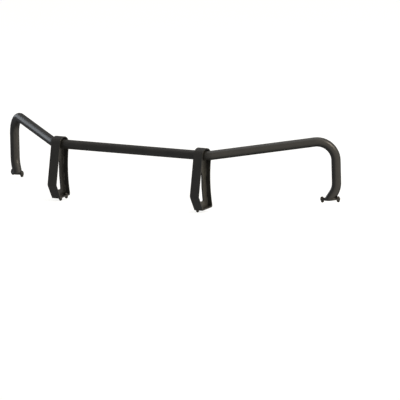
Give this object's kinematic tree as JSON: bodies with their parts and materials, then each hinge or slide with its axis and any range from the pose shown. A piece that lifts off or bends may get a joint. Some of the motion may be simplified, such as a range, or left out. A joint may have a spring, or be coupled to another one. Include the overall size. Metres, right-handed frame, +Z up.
{
  "type": "front grille guard",
  "caption": "Black tube grille guard: a bent hoop with swept wings and legs, flat-bar loop uprights on gusset webs, and bolted feet that stand on a truck bumper.",
  "frame": {"origin": "bottom centre of the guard's bounding box, level with the lowest bolt ends and midway across its width and depth", "axes": "+X to the right as seen from in front, along the guard's width; -Y towards the front of the truck; +Z up"},
  "size_m": [1.923, 0.4372, 0.3456],
  "materials": {
    "powder_coat": "satin textured black powder coat over mild steel",
    "fastener": "black zinc plated steel"
  },
  "bodies": {
    "root": {"hoop_tube": "powder_coat", "left_foot_front_bolt": "fastener", "left_foot_front_lower_washer": "fastener", "left_foot_front_nut": "fastener", "left_foot_front_upper_washer": "fastener", "left_foot_plate": "powder_coat", "left_foot_rear_bolt": "fastener", "left_foot_rear_lower_washer": "fastener", "left_foot_rear_nut": "fastener", "left_foot_rear_upper_washer": "fastener", "left_leg_flange": "powder_coat", "left_leg_inner_bolt": "fastener", "left_leg_inner_lower_washer": "fastener", "left_leg_inner_nut": "fastener", "left_leg_inner_upper_washer": "fastener", "left_leg_outer_bolt": "fastener", "left_leg_outer_lower_washer": "fastener", "left_leg_outer_nut": "fastener", "left_leg_outer_upper_washer": "fastener", "left_upright_strap": "powder_coat", "left_web_plate": "powder_coat", "right_foot_front_bolt": "fastener", "right_foot_front_lower_washer": "fastener", "right_foot_front_nut": "fastener", "right_foot_front_upper_washer": "fastener", "right_foot_plate": "powder_coat", "right_foot_rear_bolt": "fastener", "right_foot_rear_lower_washer": "fastener", "right_foot_rear_nut": "fastener", "right_foot_rear_upper_washer": "fastener", "right_leg_flange": "powder_coat", "right_leg_inner_bolt": "fastener", "right_leg_inner_lower_washer": "fastener", "right_leg_inner_nut": "fastener", "right_leg_inner_upper_washer": "fastener", "right_leg_outer_bolt": "fastener", "right_leg_outer_lower_washer": "fastener", "right_leg_outer_nut": "fastener", "right_leg_outer_upper_washer": "fastener", "right_upright_strap": "powder_coat", "right_web_plate": "powder_coat"}
  },
  "joints": []
}
